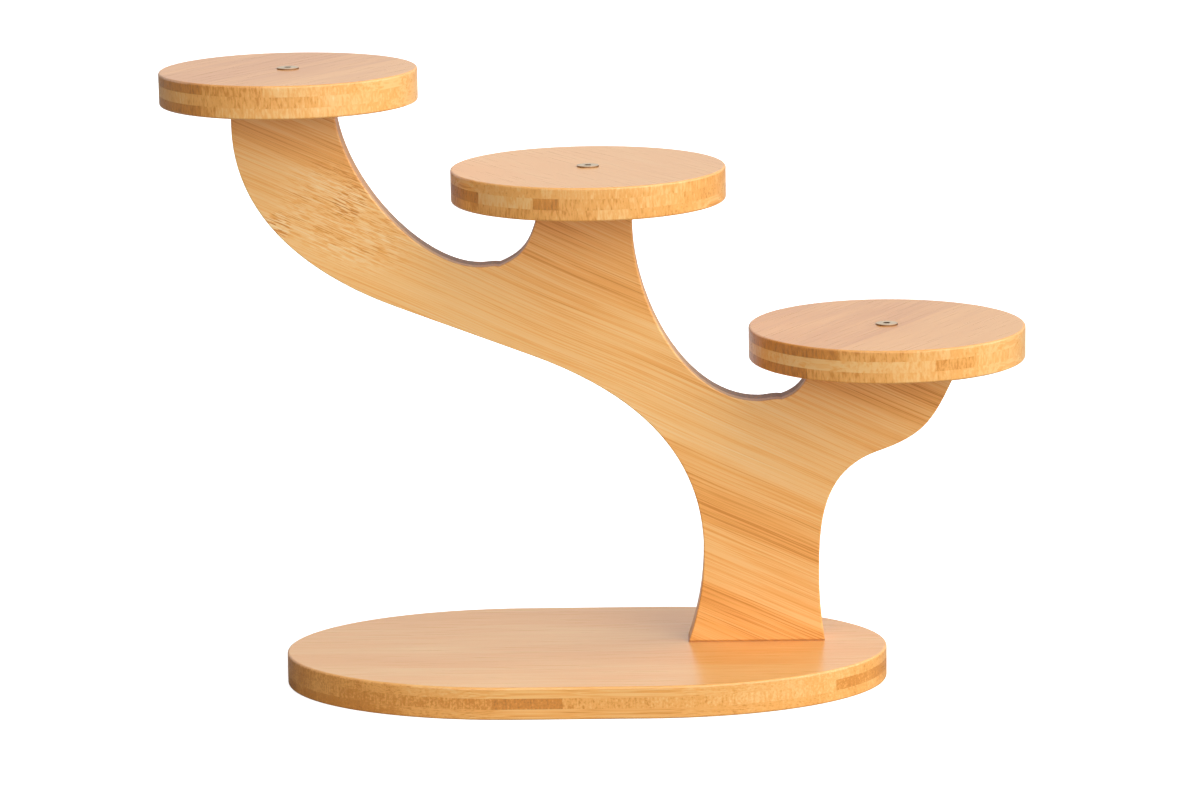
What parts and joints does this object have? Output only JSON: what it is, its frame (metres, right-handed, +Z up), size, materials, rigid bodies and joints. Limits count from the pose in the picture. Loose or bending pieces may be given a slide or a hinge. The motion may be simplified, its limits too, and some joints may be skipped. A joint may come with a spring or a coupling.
{
  "type": "tiered shelf riser",
  "caption": "Oval-based bamboo riser: a branching upright sawn from one board carries round shelves at stepped heights, each held by a single countersunk screw.",
  "frame": {"origin": "on the resting plane, under the middle of the oval base", "axes": "+X along the base towards the lowest shelf, +Y to the back, +Z up"},
  "size_m": [0.3133, 0.1167, 0.227],
  "materials": {
    "bamboo_face": "satin lacquer",
    "bamboo_core": "satin lacquer",
    "screw_steel": "satin",
    "insert_brass": "satin"
  },
  "bodies": {
    "stand": {"base_top_ply": "bamboo_face", "base_core_ply": "bamboo_core", "base_bottom_ply": "bamboo_face", "upright_front_ply": "bamboo_face", "upright_core_ply": "bamboo_core", "upright_back_ply": "bamboo_face", "upper_shelf_screw": "screw_steel", "middle_shelf_screw": "screw_steel", "lower_shelf_screw": "screw_steel", "foot_screws": "screw_steel", "upper_insert": "insert_brass", "middle_insert": "insert_brass", "lower_insert": "insert_brass", "foot_inserts": "insert_brass"},
    "upper_shelf": {"upper_shelf_top_ply": "bamboo_face", "upper_shelf_core_ply": "bamboo_core", "upper_shelf_bottom_ply": "bamboo_face"},
    "middle_shelf": {"middle_shelf_top_ply": "bamboo_face", "middle_shelf_core_ply": "bamboo_core", "middle_shelf_bottom_ply": "bamboo_face"},
    "lower_shelf": {"lower_shelf_top_ply": "bamboo_face", "lower_shelf_core_ply": "bamboo_core", "lower_shelf_bottom_ply": "bamboo_face"}
  },
  "joints": [
    {"name": "upper_shelf_swivel", "type": "hinge", "parent": "stand", "child": "upper_shelf", "pos_m": [-0.1048, 0.0095, 0.2204], "axis": [0, 0, 1], "continuous": true},
    {"name": "middle_shelf_swivel", "type": "hinge", "parent": "stand", "child": "middle_shelf", "pos_m": [0.0031, 0.0095, 0.1833], "axis": [0, 0, 1], "continuous": true},
    {"name": "lower_shelf_swivel", "type": "hinge", "parent": "stand", "child": "lower_shelf", "pos_m": [0.1113, 0.0095, 0.1236], "axis": [0, 0, 1], "continuous": true}
  ]
}
